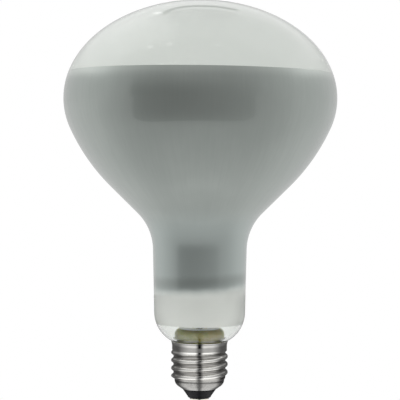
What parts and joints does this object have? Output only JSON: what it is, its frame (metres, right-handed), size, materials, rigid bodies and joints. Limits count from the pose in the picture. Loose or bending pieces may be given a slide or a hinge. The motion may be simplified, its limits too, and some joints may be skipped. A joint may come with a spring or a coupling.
{
  "type": "led reflector bulb",
  "caption": "Mushroom-shaped reflector lamp with a frosted dome, mirrored bowl and clear glass shoulder, LED filaments inside, on a 27 mm Edison screw cap.",
  "frame": {"origin": "middle of the centre contact's outer face, on the lamp's axis", "axes": "+Z along the lamp's axis from the cap to the dome; the picture looks along +Y"},
  "size_m": [0.125, 0.125, 0.183],
  "materials": {
    "bulb_glass": "blown glass, frosted inside over the dome and the foot of the neck, vacuum-metallised inside over the bowl and neck, clear over the shoulder",
    "mirror_coat": "aluminium vapour coat on the inside of the glass, satin",
    "stem_glass": "clear",
    "nickel_plate": "rolled brass sheet, bright nickel plate",
    "contact_metal": "nickel-plated brass, satin",
    "black_glass": "black vitrified glass, glossy",
    "cement": "matte olive capping cement",
    "wire": "nickel wire and strip",
    "phosphor": "yellow phosphor in silicone",
    "amber_film": "olive-amber insulating film",
    "circuit_board": "green solder mask on glass-fibre board",
    "capacitor_can": "dark sleeve on an aluminium can",
    "ferrite": "matte",
    "resistor_coat": "lacquered",
    "black_resin": "moulded epoxy",
    "wire_insulation": "glass-fibre sleeved wire",
    "solder": "tin solder, satin"
  },
  "bodies": {
    "root": {"screw_shell": "nickel_plate", "cap_insulator": "black_glass", "centre_contact": "contact_metal", "capping_cement": "cement", "glass_envelope": "bulb_glass", "stem_glass": "stem_glass", "inner_lead_positive": "wire", "inner_lead_negative": "wire", "bus_arc_positive": "wire", "bus_arc_negative": "wire", "led_filament_1": "phosphor", "led_filament_2": "phosphor", "led_filament_3": "phosphor", "led_filament_4": "phosphor", "led_filament_5": "phosphor", "led_filament_6": "phosphor", "led_filament_7": "phosphor", "led_filament_8": "phosphor", "filament_hub": "wire", "driver_sleeve": "amber_film", "driver_board": "circuit_board", "smoothing_capacitor": "capacitor_can", "choke": "ferrite", "fusible_resistor": "resistor_coat", "bridge_rectifier": "black_resin", "driver_chip": "black_resin", "live_wire": "wire_insulation", "neutral_wire": "wire_insulation", "shell_solder": "solder", "outer_lead_positive": "wire", "outer_lead_negative": "wire"}
  },
  "joints": []
}
